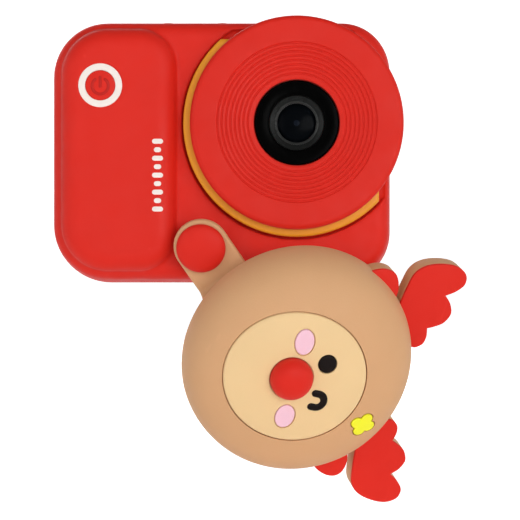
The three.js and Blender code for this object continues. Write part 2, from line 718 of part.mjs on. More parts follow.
export default camera;
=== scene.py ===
"""A kids digital camera in a red silicone sleeve, with a reindeer lens cover on a strap.

Shapes are modelled in millimetres in the local frame of what they belong to: x to the right, y up and
z towards the viewer, with z = 0 in the middle of the body's depth. A matrix then takes each piece into
the shared frame, in metres.
"""
import json
import math

import bmesh
import bpy
from mathutils import Matrix, Vector


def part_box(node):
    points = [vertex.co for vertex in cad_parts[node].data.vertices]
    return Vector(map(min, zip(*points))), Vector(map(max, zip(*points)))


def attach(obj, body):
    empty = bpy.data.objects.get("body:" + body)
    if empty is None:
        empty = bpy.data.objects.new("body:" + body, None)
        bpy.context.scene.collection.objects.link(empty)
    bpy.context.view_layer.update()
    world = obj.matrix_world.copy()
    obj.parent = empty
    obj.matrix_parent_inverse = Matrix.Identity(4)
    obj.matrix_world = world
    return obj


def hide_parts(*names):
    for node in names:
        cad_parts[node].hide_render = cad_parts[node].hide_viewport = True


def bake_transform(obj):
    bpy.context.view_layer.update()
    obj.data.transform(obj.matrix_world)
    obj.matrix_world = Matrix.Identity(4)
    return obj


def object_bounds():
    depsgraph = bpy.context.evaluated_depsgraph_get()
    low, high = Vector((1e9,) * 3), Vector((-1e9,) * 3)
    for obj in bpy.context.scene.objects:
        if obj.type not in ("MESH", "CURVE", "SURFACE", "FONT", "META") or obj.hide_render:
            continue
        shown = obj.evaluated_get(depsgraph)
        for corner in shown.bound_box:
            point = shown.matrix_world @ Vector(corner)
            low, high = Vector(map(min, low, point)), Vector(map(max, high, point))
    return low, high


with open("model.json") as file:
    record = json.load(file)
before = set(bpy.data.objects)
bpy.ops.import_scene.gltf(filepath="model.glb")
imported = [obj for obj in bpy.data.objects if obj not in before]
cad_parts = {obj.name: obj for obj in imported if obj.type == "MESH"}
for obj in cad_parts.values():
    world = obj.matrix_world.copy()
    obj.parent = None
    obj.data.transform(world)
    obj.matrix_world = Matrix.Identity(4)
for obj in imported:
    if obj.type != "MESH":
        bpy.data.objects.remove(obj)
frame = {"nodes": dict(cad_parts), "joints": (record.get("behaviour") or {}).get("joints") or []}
cad_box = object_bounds()

# ---- Driving dimensions, in millimetres ----
MM = 0.001
FRONT = 14.0  # front face of the sleeve
BACK = -14.0
BODY_CORNERS = (16.0, 14.0)  # left and right corner radius
FRONT_DRAFT = 1.0  # the sides lean in by this much before the front edge rounds over
FRONT_FILLET = 4.0
REAR_FILLET = 3.5
SIDE_TRIM = 0.25  # the soft skin sits this much inside the widest line at the sides and top
SLEEVE_WALL = 2.0
REAR_LIP = 6.0  # how far the sleeve wraps over the back
SOFT_VOXEL = 0.4  # the remesh that softens the sleeve and the strap
SLEEVE_HOLLOW = (-12.2, 11.0)  # back and front of the space inside the sleeve
GRIP = {"x": (-43.5, -12.5), "y": (3.6, 69.4), "corners": (12.5, 10.0), "rise": 4.0, "shoulder": 5.0,
        "spread": 0.3, "sink": 0.6}
RECESS = {"radius": 31.4, "right": 45.2, "top": 69.6, "corner": 41.2, "floor": 12.05}
COLLAR = {"radius": 30.8, "right": 43.0, "top": 66.4, "corner": 39.6, "back": 12.1, "front": 18.0}
POWER_WELL = {"radius": 5.8, "floor": 10.5}
TOP_HOLE = 3.0  # radius of the sleeve's holes for the two top buttons
PORT = {"y": (20, 52), "z": (-8, 2)}  # the side port's opening in the rear shell
PANEL_BACK = -13.8
PANEL_FRONT = -11.9
WINDOW_FRONT = -13.1  # front face of the two windows set into the rear panel
SCREEN = {"half_width": 26.0, "half_height": 20.0, "corner": 2.5, "gap": 0.3}
DISPLAY = (22.4, 16.8)  # half width and half height of the lit area behind the screen
SPEAKER_HOLE = 0.7
KEY_RIM = 0.7  # how far a key's hidden flange stands out past its cap
KEY_GAP = 0.3
PRINT = {"x": -17.15, "top": 38.6, "pitch": 2.3, "radius": 0.68, "halves": (1.5, 1.0), "count": 9}
RING = {"outer": 5.95, "inner": 4.12, "back": 12.0, "front": 18.15}
POWER_FRONT = 18.2
HOOD = {"radius": 28.9, "bore": 11.6, "back": 18.3, "front": 21.8, "edge": 1.5}
HOOD_GROOVES = {"outer": 21.8, "inner": 13.6, "count": 8}
LENS_SEAT = 18.3  # where the window, ring and rim of the lens stand
LENS_GLASS_RADIUS = 5.3
PIVOT_CAP = {"radius": 6.65, "under": 1.6, "rise": 2.1}

CAP_UNDERSIDE = 29.4  # the closed cap's underside, before it is pressed home
FACE_ROLL = math.radians(-4.4)
HEAD = {"radius": 31.8, "dome": 31.1, "rim": 6.0, "height": 20.0, "lip": 29.3, "pocket": 5.0,
        "shoulder": 0.9}
FACE = {"x": 0.4, "y": -4.2, "half_width": 18.0, "half_height": 19.2}
EYE = {"x": -5.7, "y": 2.3, "radius": 2.5}
WINK = {"x": 4.8, "y": 2.7, "radius": 1.95, "leg": 1.0, "stroke": 1.04}
CHEEKS = ((-10.0, -5.5), (11.2, -4.1))
CHEEK = {"half_width": 3.4, "half_height": 2.55, "tilt": math.radians(4)}
NOSE = {"x": 0.3, "y": -5.95, "radius": 5.7, "rise": 4.2}
FLOWER = {"x": 9.9, "y": 18.9, "petal": 1.58, "spread": 1.9, "turned": math.radians(-12), "stretch": 1.12}
HORN = {"back": 0.2, "split": 5.0, "front": 6.1, "turned": math.radians(2.8), "about": 28.0}
GROOVE = 0.28  # gap round each inlay of the face
STRAP = {"radius": 7.55, "bore": 3.4, "half": 1.3, "heading": math.radians(-56.5), "length": 24.5}
STRAP_CLIMB = (10.0, 17.0)  # where along its length the strap starts and ends its climb into the cap
STRAP_SINK = 0.2  # how deep the strap's end is moulded into the cap

# ---- Frames ----
UPRIGHT = Matrix.Rotation(math.pi / 2, 4, "X")  # local z towards the viewer becomes -Y
TO_METRES = Matrix.Scale(MM, 4)
BODY_FRAME = TO_METRES @ UPRIGHT
STRAP_TURN = Matrix.Rotation(STRAP["heading"], 4, "Z")


def box_mm(node):
    """The low and high corners of a CAD node, in millimetres."""
    return [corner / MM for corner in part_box(node)]


def centre_of(node):
    """The middle of a CAD node seen from the front, in millimetres."""
    low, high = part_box(node)
    middle = (low + high) / 2 / MM
    return middle.x, middle.z


LENS_X, LENS_Y = centre_of("lens_hood")
POWER_X, POWER_Y = centre_of("power_ring")
BODY_LOW, BODY_HIGH = box_mm("silicone_sleeve")
JOINTS = {joint["name"]: joint for joint in frame["joints"]}


def cover_frames():
    """The pivot's frame and the cap's frame at rest, from the two joints that carry the cover."""
    swivel = JOINTS["cover_swivel"]
    press = JOINTS["cover_press"]
    axis = Vector(swivel["axis"]).normalized()
    pivot = Vector(swivel["pos_m"])
    open_turn = math.radians(swivel["range_deg"][1])
    travel = Vector(press["axis"]) * press["range_m"][1]
    pressed = Matrix.Rotation(open_turn, 3, axis) @ travel
    closed = Vector((LENS_X * MM - pressed.x, -CAP_UNDERSIDE * MM, LENS_Y * MM - pressed.z))
    opening = Matrix.Rotation(-open_turn, 4, axis)
    swing = Matrix.Translation(pivot) @ opening @ Matrix.Translation(closed - pivot)
    cap = swing @ BODY_FRAME @ Matrix.Rotation(FACE_ROLL, 4, "Z")
    lean = Vector((0, -1, 0)).rotation_difference(axis).to_matrix().to_4x4()
    return Matrix.Translation(pivot) @ lean @ BODY_FRAME, cap


PIVOT_FRAME, CAP_FRAME = cover_frames()


# ---- Outlines ----
def arc(x, y, radius, start, end, steps):
    """Points on an arc, both ends included, angles in degrees."""
    turns = [math.radians(start + (end - start) * i / steps) for i in range(steps + 1)]
    return [(x + radius * math.cos(t), y + radius * math.sin(t)) for t in turns]


def circle(x, y, radius, steps=64):
    return arc(x, y, radius, 0, 360, steps)[:-1]


def quarter(steps):
    """(cosine, sine) at even steps over a quarter turn, its start left out."""
    turns = [math.pi / 2 * i / steps for i in range(1, steps + 1)]
    return [(math.cos(t), math.sin(t)) for t in turns]


def ellipse(x, y, half_width, half_height, steps=96):
    return [(x + half_width * px, y + half_height * py) for px, py in circle(0, 0, 1, steps)]


def rounded_rect(x0, x1, y0, y1, corners, inset=0.0, steps=16):
    """A rectangle with its own left and right corner radius, drawn inset from its edge."""
    left, right = corners
    a = max(left - inset, 0.05)
    b = max(right - inset, 0.05)
    return (
        arc(x0 + left, y0 + left, a, 180, 270, steps)
        + arc(x1 - right, y0 + right, b, 270, 360, steps)
        + arc(x1 - right, y1 - right, b, 0, 90, steps)
        + arc(x0 + left, y1 - left, a, 90, 180, steps)
    )


def body_outline(inset, steps=20):
    left = BODY_LOW.x + SIDE_TRIM
    right = BODY_HIGH.x - SIDE_TRIM
    return rounded_rect(left, right, 0, BODY_HIGH.z - SIDE_TRIM, BODY_CORNERS, inset, steps)


def grip_outline(inset, steps=20):
    return rounded_rect(*GRIP["x"], *GRIP["y"], GRIP["corners"], inset, steps)


def clipped_circle(cut, steps=240):
    """A circle about the lens axis, cut flat at its right, its top and across the corner between them."""
    points = []
    for x, y in circle(LENS_X, LENS_Y, cut["radius"], steps):
        x, y = min(x, cut["right"]), min(y, cut["top"])
        over = max((x - LENS_X + y - LENS_Y - cut["corner"]) / 2, 0)
        points.append((x - over, y - over))
    return points


def smooth_through(points, steps=10):
    """A Catmull-Rom curve through the points, ends included."""
    ends = [points[0], *points, points[-1]]
    made = []
    for a, b, c, d in zip(ends, ends[1:], ends[2:], ends[3:]):
        for i in range(steps):
            t = i / steps
            point = []
            for p, q, r, s in zip(a, b, c, d):
                bend = 2 * p - 5 * q + 4 * r - s
                twist = 3 * q - p - 3 * r + s
                point.append(0.5 * (2 * q + (r - p) * t + bend * t**2 + twist * t**3))
            made.append(tuple(point))
    return made + [points[-1]]


# ---- Mesh building ----
ON_AXIS = 1e-6  # a turned profile's point this near the axis is on it


def add_object(name, data):
    thing = bpy.data.objects.new(name, data)
    bpy.context.scene.collection.objects.link(thing)
    return thing


def make(name, verts, faces, matrix, material, body, *replaced, smooth_angle=40):
    """A mesh piece from local points, with its normals outward, riding on a body."""
    mesh = bpy.data.meshes.new(name)
    mesh.from_pydata([tuple(v) for v in verts], [], faces)
    return finish_piece(name, mesh, matrix, material, body, replaced, smooth_angle)


def finish_piece(name, mesh, matrix, material, body, replaced=(), smooth_angle=40):
    """Turns a local mesh into a piece: cleaned, placed, shaded smooth but for its sharp edges, and riding."""
    cleaned = bmesh.new()
    cleaned.from_mesh(mesh)
    bmesh.ops.remove_doubles(cleaned, verts=cleaned.verts, dist=1e-4)
    bmesh.ops.dissolve_degenerate(cleaned, edges=cleaned.edges, dist=1e-5)
    bmesh.ops.recalc_face_normals(cleaned, faces=cleaned.faces)
    bmesh.ops.transform(cleaned, matrix=matrix, verts=cleaned.verts)
    limit = math.radians(smooth_angle)
    for face in cleaned.faces:
        face.smooth = True
    for edge in cleaned.edges:
        edge.smooth = len(edge.link_faces) == 2 and edge.calc_face_angle(0) < limit
    cleaned.to_mesh(mesh)
    cleaned.free()
    mesh.materials.clear()
    mesh.materials.append(material)
    piece = add_object(name, mesh)
    if body:
        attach(piece, body)
    if replaced:
        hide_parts(*replaced)
    return piece


def loft(rings):
    """Vertices and faces of a skin over equal-length closed rings of 3D points, ends capped."""
    count = len(rings[0])
    verts = [p for ring in rings for p in ring]
    faces = []
    for level in range(len(rings) - 1):
        low = level * count
        for i in range(count):
            j = (i + 1) % count
            faces.append((low + i, low + j, low + count + j, low + count + i))
    faces.append(tuple(reversed(range(count))))
    faces.append(tuple(range((len(rings) - 1) * count, len(rings) * count)))
    return verts, faces


def filleted(outline, inset, back, front, rear_fillet, front_fillet, steps=8, draft=0.0):
    """A body with rounded edges whose sides lean in by draft towards the front."""
    rings = []
    for i in range(steps + 1):
        turn = math.pi / 2 * i / steps
        shrink = rear_fillet * (1 - math.sin(turn))
        depth = back + rear_fillet * (1 - math.cos(turn))
        rings.append([(x, y, depth) for x, y in outline(inset + shrink)])
    shoulder = front - front_fillet
    for i in range(steps if draft else 0):
        share = i / steps
        rings.append([(x, y, shoulder * share) for x, y in outline(inset + draft * share**1.5)])
    for i in range(steps, -1, -1):
        turn = math.pi / 2 * i / steps
        shrink = draft + front_fillet * (1 - math.sin(turn))
        depth = front - front_fillet * (1 - math.cos(turn))
        rings.append([(x, y, depth) for x, y in outline(inset + shrink)])
    return loft(rings)


def turned(profile, x=0.0, y=0.0, steps=96):
    """A turned solid from (radius, z) pairs. A profile that doesn't touch the axis closes on itself."""
    verts = []
    rows = []
    for radius, z in profile:
        if radius < ON_AXIS:
            rows.append([len(verts)] * steps)
            verts.append((x, y, z))
        else:
            rows.append(list(range(len(verts), len(verts) + steps)))
            verts.extend((px, py, z) for px, py in circle(x, y, radius, steps))
    pairs = list(zip(rows, rows[1:]))
    if profile[0][0] > ON_AXIS and profile[-1][0] > ON_AXIS:
        pairs.append((rows[-1], rows[0]))
    faces = []
    for low, high in pairs:
        for i in range(steps):
            j = (i + 1) % steps
            corners = []
            for v in (low[i], low[j], high[j], high[i]):
                if v not in corners:
                    corners.append(v)
            faces.append(tuple(corners))
    return verts, faces


def rounded(profile, radius=0.4, steps=4):
    """Rounds the corners of an open (radius, z) profile."""
    made = [profile[0]]
    for before, corner, after in zip(profile, profile[1:], profile[2:]):
        c = Vector(corner)
        to_before = Vector(before) - c
        to_after = Vector(after) - c
        reach = min(radius, to_before.length * 0.45, to_after.length * 0.45)
        start = c + to_before.normalized() * reach
        end = c + to_after.normalized() * reach
        for i in range(steps + 1):
            t = i / steps
            made.append(tuple(start * (1 - t) ** 2 + c * 2 * t * (1 - t) + end * t**2))
    return made + [profile[-1]]


def slab_mesh(outlines, back, front, bevel=0.3, steps=3):
    """A flat plate with rounded edges. The first outline is its edge, the others are holes through it."""
    curve = bpy.data.curves.new("slab", "CURVE")
    curve.dimensions = "2D"
    curve.fill_mode = "BOTH"
    curve.extrude = (front - back) / 2 - bevel
    curve.bevel_depth = bevel
    curve.bevel_resolution = steps
    curve.offset = -bevel
    for outline in outlines:
        spline = curve.splines.new("POLY")
        spline.points.add(len(outline) - 1)
        for point, (x, y) in zip(spline.points, outline):
            point.co = (x, y, 0, 1)
        spline.use_cyclic_u = True
    holder = add_object("slab", curve)
    bpy.context.view_layer.update()
    made = evaluated_mesh(holder)
    bpy.data.objects.remove(holder)
    bpy.data.curves.remove(curve)
    made.transform(Matrix.Translation((0, 0, (front + back) / 2)))
    return made


def slab(name, outlines, back, front, matrix, material, body, *replaced, bevel=0.3):
    """A flat plate with rounded edges, as a piece."""
    mesh = slab_mesh(outlines, back, front, bevel)
    return finish_piece(name, mesh, matrix, material, body, replaced, 50)


def bead(points, radius, height, steps=10):
    """A raised line with round ends along local 3D points: `radius` to each side, `height` tall."""
    path = [Vector(p) for p in points]
    rings = []
    cap = [math.radians(a) for a in (80, 60, 40, 20)]
    start_way = (path[0] - path[1]).normalized()
    end_way = (path[-1] - path[-2]).normalized()
    stations = [(path[0] + start_way * radius * math.sin(a), math.cos(a), start_way * -1) for a in cap]
    for i, p in enumerate(path):
        before = path[max(i - 1, 0)]
        after = path[min(i + 1, len(path) - 1)]
        stations.append((p, 1.0, (after - before).normalized()))
    stations += [(path[-1] + end_way * radius * math.sin(a), math.cos(a), end_way) for a in reversed(cap)]
    for centre, share, way in stations:
        side = Vector((way.y, -way.x, 0)).normalized()
        ring = []
        for i in range(2 * steps):
            turn = math.pi * i / steps
            offset = side * radius * share * math.cos(turn)
            ring.append(centre + offset + Vector((0, 0, height * share * math.sin(turn))))
        rings.append([tuple(p) for p in ring])
    return loft(rings)


def evaluated_mesh(piece):
    graph = bpy.context.evaluated_depsgraph_get()
    return bpy.data.meshes.new_from_object(piece.evaluated_get(graph))


def raw_object(verts, faces):
    """A plain object from (verts, faces) with its normals outward, for the modifiers to work on."""
    mesh = bpy.data.meshes.new("raw")
    mesh.from_pydata([tuple(v) for v in verts], [], faces)
    cleaned = bmesh.new()
    cleaned.from_mesh(mesh)
    bmesh.ops.recalc_face_normals(cleaned, faces=cleaned.faces)
    cleaned.to_mesh(mesh)
    cleaned.free()
    return add_object("raw", mesh)


def modify(thing, kind, **settings):
    """Adds a modifier with these settings."""
    modifier = thing.modifiers.new(kind.lower(), kind)
    for name, value in settings.items():
        setattr(modifier, name, value)


def carved(base, joined=(), cut=(), voxel=None, smooth=0, keep=None):
    """Joins and cuts (verts, faces) solids, optionally remeshed to a soft skin, and returns the mesh."""
    holder = raw_object(*base)
    tools = []
    for parts, operation in [(p, "UNION") for p in joined] + [(p, "DIFFERENCE") for p in cut]:
        tool = raw_object(*parts)
        tools.append(tool)
        modify(holder, "BOOLEAN", operation=operation, solver="EXACT", object=tool)
    if voxel:
        modify(holder, "REMESH", mode="VOXEL", voxel_size=voxel)
    if smooth:
        modify(holder, "SMOOTH", factor=0.5, iterations=smooth)
    if keep:
        modify(holder, "DECIMATE", ratio=keep)
    mesh = evaluated_mesh(holder)
    for thing in [holder, *tools]:
        bpy.data.objects.remove(thing)
    return mesh


def prism(outline, back, front):
    return loft([[(x, y, z) for x, y in outline] for z in (back, front)])


def box_solid(x, y, z):
    """A box from its (low, high) along each way."""
    return prism([(x[0], y[0]), (x[1], y[0]), (x[1], y[1]), (x[0], y[1])], *z)


# ---- Materials ----
def linear(*srgb):
    """An sRGB colour out of 255 as linear values."""
    return tuple(((c / 255 + 0.055) / 1.055) ** 2.4 if c > 10 else c / 255 / 12.92 for c in srgb) + (1.0,)


def set_inputs(node, values):
    """Sets a shader node's inputs by name."""
    for name, value in values.items():
        node.inputs[name].default_value = value


def add_node(tree, kind, values=None, **settings):
    """A shader node of a kind, with its settings first and then the values of its inputs."""
    node = tree.nodes.new(f"ShaderNode{kind}")
    for name, value in settings.items():
        setattr(node, name, value)
    set_inputs(node, values or {})
    return node


def calculated(tree, operation, source, *values):
    """The result of a maths node on a source, with the values of its other inputs."""
    node = add_node(tree, "Math", operation=operation)
    tree.links.new(source, node.inputs[0])
    for i, value in enumerate(values):
        node.inputs[i + 1].default_value = value
    return node.outputs[0]


def surface(name, colour, roughness, *, grain=0.02, grain_size=2500.0, cloud=0.04, sheen=0.0, metallic=0.0,
            coat=0.0, specular=0.5, subsurface=0.0, rough_spread=0.08, wear=0.25):
    """A moulded surface: mottled colour, uneven gloss, fine grain in its bump and lighter worn edges."""
    material = bpy.data.materials.new(name)
    material.use_nodes = True
    tree = material.node_tree
    links = tree.links
    shader = tree.nodes["Principled BSDF"]
    place = add_node(tree, "TexCoord")

    def noise(scale, detail):
        node = add_node(tree, "TexNoise", {"Scale": scale, "Detail": detail})
        links.new(place.outputs["Object"], node.inputs["Vector"])
        return node.outputs["Fac"]

    def stretch(value, ends):
        node = add_node(tree, "MapRange", ends)
        links.new(value, node.inputs["Value"])
        return node.outputs["Result"]

    def mixed(factor, colours):
        node = add_node(tree, "Mix", colours, data_type="RGBA")
        links.new(factor, node.inputs["Factor"])
        return node

    darker = tuple(c * (1 - cloud) for c in colour[:3]) + (1,)
    lighter = tuple(min(1, c * (1 + cloud)) for c in colour[:3]) + (1,)
    tint = mixed(noise(60.0, 3.0), {"A": darker, "B": lighter})
    edges = add_node(tree, "NewGeometry")
    worn = stretch(edges.outputs["Pointiness"], {"From Min": 0.52, "From Max": 0.62, "To Max": wear})
    faded = mixed(worn, {"B": tuple(min(1, c * 1.08 + 0.015) for c in colour[:3]) + (1,)})
    links.new(tint.outputs["Result"], faded.inputs["A"])
    links.new(faded.outputs["Result"], shader.inputs["Base Color"])
    gloss = stretch(noise(220.0, 4.0), {"From Min": 0.3, "From Max": 0.7, "To Min": roughness - rough_spread,
                                        "To Max": roughness + rough_spread})
    links.new(gloss, shader.inputs["Roughness"])
    bump = add_node(tree, "Bump", {"Strength": grain, "Distance": 0.0002})
    links.new(noise(grain_size, 6.0), bump.inputs["Height"])
    links.new(bump.outputs["Normal"], shader.inputs["Normal"])
    set_inputs(shader, {"Metallic": metallic, "Coat Weight": coat, "Coat Roughness": 0.15,
                        "Specular IOR Level": specular, "Sheen Weight": sheen, "Sheen Roughness": 0.4})
    if subsurface:
        set_inputs(shader, {"Subsurface Weight": subsurface, "Subsurface Radius": (0.003, 0.0012, 0.0008)})
    return material


def silicone(name, *srgb, **changes):
    """Soft matt silicone: a fine grain, a slight sheen and a little light through it."""
    settings = {"grain": 0.12, "grain_size": 2200.0, "sheen": 0.05, "specular": 0.22, "subsurface": 0.06}
    settings.update(changes)
    return surface(name, linear(*srgb), settings.pop("roughness", 0.56), **settings)


RED = silicone("red_silicone", 225, 38, 24)
HOOD_RED = silicone("hood_red", 220, 35, 20, roughness=0.52)
RED_PLASTIC = surface("red_plastic", linear(216, 36, 24), 0.4, grain=0.06, grain_size=1800)
YELLOW = surface("collar_yellow", linear(238, 158, 36), 0.42, grain=0.05, grain_size=1800, specular=0.3)
TAN = silicone("tan_silicone", 220, 170, 124)
CREAM = silicone("cream_silicone", 242, 207, 154)
PINK = silicone("pink_silicone", 252, 204, 219)
FACE_BLACK = silicone("black_silicone", 22, 14, 12, roughness=0.45, sheen=0.0, specular=0.12)
FLOWER_YELLOW = silicone("flower_yellow", 255, 252, 50)
PRINT_WHITE = surface("white_print", linear(252, 240, 232), 0.5, grain=0.05)
KEY_WHITE = surface("white_plastic", linear(240, 236, 230), 0.35, grain=0.03, coat=0.2)
KEY_MARK = surface("key_mark_red", linear(206, 44, 36), 0.5, grain=0.03)
BLACK_GLOSS = surface("black_window", linear(2, 2, 2), 0.2, grain=0.02, specular=0.015, rough_spread=0.04)
BARREL_BLACK = surface("barrel_black", linear(26, 26, 28), 0.5, grain=0.08)
SYMBOL_RED = silicone("symbol_red", 196, 32, 24)
STEEL = surface("steel", linear(186, 188, 192), 0.3, metallic=1.0, grain=0.1, rough_spread=0.1)
FOIL = surface("foil", linear(200, 202, 206), 0.35, metallic=0.8, grain=0.15)
BOARD = surface("circuit_board", linear(28, 104, 58), 0.4, grain=0.2, grain_size=900, coat=0.3)
LENS_GLASS = surface("lens_glass", linear(4, 6, 9), 0.16, grain=0.02, specular=0.02, rough_spread=0.03)
RING_GREY = surface("ring_grey", linear(20, 21, 20), 0.3, grain=0.05, specular=0.16, rough_spread=0.05)
# a lighter grey than the ring: painted highlight along the lens ring's inner edge
RIM_HIGHLIGHT_GREY = surface("rim_highlight_grey", linear(40, 41, 40), 0.3, grain=0.05, specular=0.3, rough_spread=0.05)
# dark bluish colour for a small disc at the lens centre: a painted glint
GLINT_DISC_BLUE = surface("painted_glint_blue", linear(14, 20, 30), 0.3, grain=0.02, specular=0.03, rough_spread=0.05)


# ---- Sleeve and casing ----
def grip_solid(steps=10):
    """The raised grip with its quarter-round shoulder."""
    rings = [[(x, y, 0.0) for x, y in grip_outline(-GRIP["spread"])]]
    for i in range(steps + 1):
        turn = math.pi / 2 * i / steps
        shrink = GRIP["shoulder"] * (1 - math.cos(turn)) - GRIP["spread"]
        height = FRONT - GRIP["sink"] + (GRIP["rise"] + GRIP["sink"]) * math.sin(turn)
        rings.append([(x, y, height) for x, y in grip_outline(shrink)])
    return loft(rings)


def top_hole(node):
    """An upright hole through the sleeve's top for a button."""
    low, high = box_mm(node)
    middle = (low + high) / 2
    levels = (65, 80)
    hole = circle(middle.x, -middle.y, TOP_HOLE, 32)
    verts = [(x, level, z) for level in levels for x, z in hole]
    return verts, loft([[(x, z, level) for x, z in hole] for level in levels])[1]


def build_sleeve():
    """The silicone skin: body and grip in one, hollow, with openings for all that shows through it."""
    outer = filleted(body_outline, 0, BACK, FRONT, REAR_FILLET, FRONT_FILLET, 10, FRONT_DRAFT)
    hollow = filleted(body_outline, SLEEVE_WALL, *SLEEVE_HOLLOW, 1.5, 3.5, 6, FRONT_DRAFT)
    hinge = JOINTS["flap_hinge"]["pos_m"][2] / MM
    flap_low, flap_high = box_mm("port_flap")
    well, floor = POWER_WELL.values()
    clear = 20  # in front of the whole sleeve
    gap = 0.3
    cutters = [
        hollow,
        prism(body_outline(REAR_LIP), BACK - 1, -10.9),
        prism(clipped_circle(RECESS), RECESS["floor"], clear),
        turned([(0, floor), (well, floor), (well, clear), (0, clear)], POWER_X, POWER_Y, 64),
        box_solid((-50, -44), (hinge, flap_high.z + gap), (-flap_high.y - gap, -flap_low.y + gap)),
        top_hole("shutter_button"),
        top_hole("mode_button"),
    ]
    mesh = carved(outer, [grip_solid()], cutters, voxel=SOFT_VOXEL, smooth=6, keep=0.45)
    finish_piece("sleeve", mesh, BODY_FRAME, RED, "body", ("silicone_sleeve",), 180)


# ---- Rear shell ----
def key_nodes():
    return [n for n in frame["nodes"] if n.startswith("key_") and n != "key_board"]


def key_radius(name):
    low, high = box_mm(name)
    return (high.z - low.z) / 2 - KEY_RIM


def screen_outline(grow, steps):
    """The screen window's outline, grown a little all round."""
    x, y = centre_of("screen_window")
    across = SCREEN["half_width"] + grow
    up = SCREEN["half_height"] + grow
    corner = SCREEN["corner"] + grow
    return rounded_rect(x - across, x + across, y - up, y + up, (corner, corner), 0, steps)


def panel_holes():
    """Every opening of the rear panel: screen, keys, second lens, screws and speaker."""
    holes = [screen_outline(SCREEN["gap"], 6)]
    for name in key_nodes():
        holes.append(circle(*centre_of(name), key_radius(name) + KEY_GAP, 40))
    holes.append(circle(*centre_of("rear_lens_window"), 2.7, 32))
    for i in range(4):
        holes.append(circle(*centre_of(f"housing_screw_{i + 1}"), 2.3, 24))
    x, y = centre_of("speaker")
    for count, reach in ((1, 0.0), (6, 2.3), (12, 4.4)):
        for i in range(count):
            turn = 2 * math.pi * i / count
            holes.append(circle(x + reach * math.cos(turn), y + reach * math.sin(turn), SPEAKER_HOLE, 12))
    return holes


def build_rear():
    """The hard rear shell with the side port's opening, and the flat panel with its openings."""
    shell = filleted(body_outline, 2.3, PANEL_FRONT, -0.3, 1.5, 0.2, 4)
    hollow = filleted(body_outline, 4.1, -10.1, 1, 1, 0.2, 4)
    opening = prism(body_outline(7.6), -13, 0)
    port = box_solid((-50, -40), PORT["y"], PORT["z"])
    mesh = carved(shell, (), [hollow, opening, port])
    finish_piece("rear_shell", mesh, BODY_FRAME, RED_PLASTIC, "body", ("rear_housing",), 40)
    outlines = [body_outline(REAR_LIP + 0.3), *panel_holes()]
    slab("rear_panel", outlines, PANEL_BACK, PANEL_FRONT, BODY_FRAME, RED_PLASTIC, "body", bevel=0.25)


def display_glass():
    """Black glass with a faintly lighter display area behind it."""
    material = surface("screen_glass", linear(10, 10, 12), 0.08, grain=0.0, coat=1.0, rough_spread=0.02)
    tree = material.node_tree
    x, y = centre_of("screen_window")
    place = add_node(tree, "TexCoord")
    parts = add_node(tree, "SeparateXYZ")
    tree.links.new(place.outputs["Object"], parts.inputs["Vector"])
    masks = []
    for axis, middle, half in (("X", x, DISPLAY[0]), ("Z", y, DISPLAY[1])):
        offset = calculated(tree, "SUBTRACT", parts.outputs[axis], middle * MM)
        masks.append(calculated(tree, "LESS_THAN", calculated(tree, "ABSOLUTE", offset), half * MM))
    both = calculated(tree, "MULTIPLY", masks[0])
    tree.links.new(masks[1], both.node.inputs[1])
    mix = add_node(tree, "Mix", {"A": linear(8, 8, 9), "B": linear(34, 38, 46)}, data_type="RGBA")
    tree.links.new(both, mix.inputs["Factor"])
    tree.links.new(mix.outputs["Result"], tree.nodes["Principled BSDF"].inputs["Base Color"])
    return material


def build_windows():
    """The screen's glass and the second lens's window, both set into the rear panel."""
    slab("screen_glass", [screen_outline(0, 8)], PANEL_BACK, WINDOW_FRONT, BODY_FRAME, display_glass(),
         "body", "screen_window", bevel=0.2)
    x, y = centre_of("rear_lens_window")
    radius = 2.4
    corners = [(0, PANEL_BACK), (radius, PANEL_BACK), (radius, WINDOW_FRONT), (0, WINDOW_FRONT)]
    make("rear_lens_glass", *turned(rounded(corners, 0.2), x, y, 48), BODY_FRAME, LENS_GLASS, "body",
         "rear_lens_window")


def build_screws():
    head = [(0, -13.2), (1.0, -13.4), (1.6, -13.3), (1.9, -12.9), (1.9, -12.5)]
    shank = [(1.2, -12.5), (1.2, 5), (0, 5.6)]
    long, short = 1.1, 0.22
    for i in range(4):
        name = f"housing_screw_{i + 1}"
        x, y = centre_of(name)
        arms = []
        for a, b in ((long, short), (short, long)):
            arms.append(box_solid((x - a, x + a), (y - b, y + b), (-14, -12.7)))
        mesh = carved(turned(head + shank, x, y, 32), (), arms)
        finish_piece(f"screw_{i + 1}", mesh, BODY_FRAME, STEEL, "body", (name,), 35)


# ---- Keys and buttons ----
def key_marks(name, x, y):
    """What is printed on a key, as outlines grouped by mark: an arrow, a ring or three bars."""
    ways = {"key_up": 90, "key_down": -90, "key_left": 0, "key_right": 180, "key_play": 180}
    if name in ways:
        reach = 1.15
        turns = [math.radians(ways[name] + corner) for corner in (0, 130, 230)]
        return [[[(x + reach * math.cos(t), y + reach * math.sin(t)) for t in turns]]]
    if name == "key_ok":
        return [[circle(x, y, 1.5, 32), circle(x, y, 1.05, 32)]]
    half, thick = 1.1, 0.35
    bars = []
    for low in (y - 0.95, y - 0.18, y + 0.6):
        bars.append([[(x - half, low), (x + half, low), (x + half, low + thick), (x - half, low + thick)]])
    return bars


def build_keys():
    """Seven round white keys, each with its mark printed on the tip."""
    for name in key_nodes():
        x, y = centre_of(name)
        tip = -box_mm(name)[1].y
        radius = key_radius(name)
        flange = radius + KEY_RIM
        shoulder, foot = -11.4, -10.4
        profile = rounded([(0, tip), (radius * 0.7, tip + 0.04), (radius, tip + 0.35), (radius, shoulder),
                           (flange, shoulder), (flange, foot), (0, foot)], 0.25)
        body = f"{name}_body"
        make(f"{name}_cap", *turned(profile, x, y, 48), BODY_FRAME, KEY_WHITE, body, name)
        for i, outlines in enumerate(key_marks(name, x, y)):
            slab(f"{name}_mark_{i + 1}", outlines, tip - 0.06, tip + 0.2, BODY_FRAME, KEY_MARK, body,
                 bevel=0.02)


